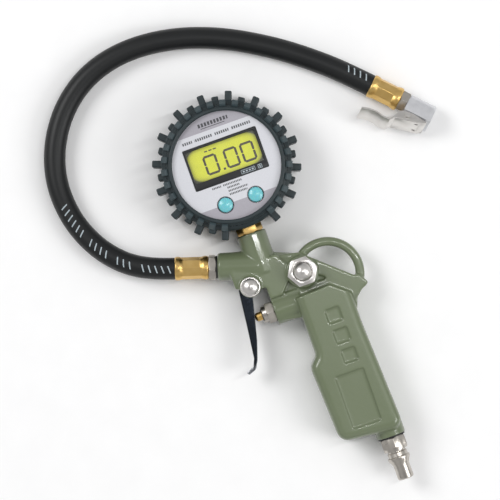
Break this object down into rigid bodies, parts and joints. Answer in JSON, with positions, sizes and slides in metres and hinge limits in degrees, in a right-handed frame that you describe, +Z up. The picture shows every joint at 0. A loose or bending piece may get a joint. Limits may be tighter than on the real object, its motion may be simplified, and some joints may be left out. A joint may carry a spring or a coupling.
{
  "type": "tyre inflator with gauge",
  "caption": "Hand tyre inflator: blow-gun body with trigger, bleed valve, digital gauge in a toothed rubber boot, short hose and clip-on valve chuck.",
  "frame": {"origin": "bottom centre of the box round the gun and its gauge, hose and chuck left out; z = 0 is the bench that the tool lies on", "axes": "+Y from the grip towards the gauge, along the gauge port; +X from the hose outlet's side towards the hanging loop; +Z up, out of the gauge's face"},
  "size_m": [0.2296, 0.2952, 0.0335],
  "materials": {
    "olive_paint": "gloss paint over a zinc-aluminium casting",
    "boot_rubber": "satin moulded rubber",
    "black_plastic": "fine spark-eroded texture",
    "face_print": "printed film, two greys",
    "clear_window": "clear acrylic",
    "lcd_glass": "yellow-green backlit display",
    "button_blue": "moulded turquoise plastic",
    "brass": "turned and crimped brass",
    "chrome": "bright chrome plate",
    "nickel_steel": "nickel plated steel",
    "zinc": "plated zinc die casting",
    "blued_steel": "dark blue-black coat, worn on the edges",
    "spring_steel": "drawn wire and small screws",
    "seal_rubber": "black rubber",
    "hose_rubber": "smooth extruded rubber",
    "board_green": "glass-fibre board",
    "component_black": "moulded packages",
    "sensor_can": "stainless can",
    "cell_jacket": null
  },
  "bodies": {
    "body": {"barrel_seal": "seal_rubber", "batteries": "cell_jacket", "battery_contacts": "spring_steel", "battery_cover": "black_plastic", "bleed_bush": "chrome", "bleed_gasket": "seal_rubber", "bleed_spring": "spring_steel", "board_components": "component_black", "body_casting": "olive_paint", "button_switches": "component_black", "case_screws": "spring_steel", "chuck_body": "zinc", "chuck_depressor": "brass", "chuck_lever_pin": "chrome", "chuck_lever_spring": "spring_steel", "chuck_seal": "seal_rubber", "circuit_board": "board_green", "ferrule_chuck": "brass", "ferrule_gun": "brass", "gauge_bezel": "black_plastic", "gauge_boot": "boot_rubber", "gauge_case": "black_plastic", "gauge_label": "face_print", "gauge_stem": "brass", "gauge_stem_seal": "seal_rubber", "hose": "hose_rubber", "hose_nipple_chuck": "nickel_steel", "hose_nipple_gun": "nickel_steel", "inlet_plug": "nickel_steel", "inlet_seal": "seal_rubber", "lcd_connector_strips": "seal_rubber", "lcd_frame": "black_plastic", "lcd_panel": "lcd_glass", "lcd_window": "clear_window", "pressure_sensor": "sensor_can", "sensor_leads": "spring_steel", "trigger_pivot_nut": "nickel_steel", "trigger_pivot_screw": "chrome", "trigger_pivot_washer": "chrome", "valve_gland_nut": "nickel_steel", "valve_gland_seal": "seal_rubber", "valve_seat": "brass", "valve_spring": "spring_steel"},
    "trigger": {"trigger": "blued_steel"},
    "valve_stem": {"valve_plunger": "brass", "valve_poppet": "brass", "valve_poppet_seal": "seal_rubber"},
    "bleed_button": {"bleed_button": "chrome", "bleed_valve_seal": "seal_rubber", "bleed_stem_ring": "brass"},
    "button_left": {"button_left": "button_blue"},
    "button_right": {"button_right": "button_blue"},
    "chuck_lever": {"chuck_lever": "chrome"}
  },
  "joints": [
    {"name": "trigger_hinge", "type": "hinge", "parent": "body", "child": "trigger", "pos_m": [-0.01521, 0.01079, 0.0125], "axis": [0, 0, 1], "range_deg": [0, 11], "stiffness_Nm_per_rad": 0.6, "springref_deg": -8.59},
    {"name": "valve_slide", "type": "slide", "parent": "body", "child": "valve_stem", "axis": [1, 0, 0], "range_m": [0, 0.0036], "deforming": ["valve_spring"]},
    {"name": "bleed_press", "type": "slide", "parent": "body", "child": "bleed_button", "axis": [0, 0, -1], "range_m": [0, 0.0016], "stiffness_N_per_m": 900, "springref_m": -0.002, "deforming": ["bleed_spring"]},
    {"name": "button_left_press", "type": "slide", "parent": "body", "child": "button_left", "axis": [0, 0, -1], "range_m": [0, 0.0008], "stiffness_N_per_m": 500, "springref_m": -0.0008},
    {"name": "button_right_press", "type": "slide", "parent": "body", "child": "button_right", "axis": [0, 0, -1], "range_m": [0, 0.0008], "stiffness_N_per_m": 500, "springref_m": -0.0008},
    {"name": "chuck_lever_hinge", "type": "hinge", "parent": "body", "child": "chuck_lever", "pos_m": [0.10189, 0.07198, 0.0128], "axis": [-0.36, -0.347, -0.866], "range_deg": [0, 12], "stiffness_Nm_per_rad": 0.08, "springref_deg": -14.32}
  ],
  "couplings": [
    {"joint": "valve_slide", "follows": "trigger_hinge", "m_per_rad": 0.018}
  ]
}
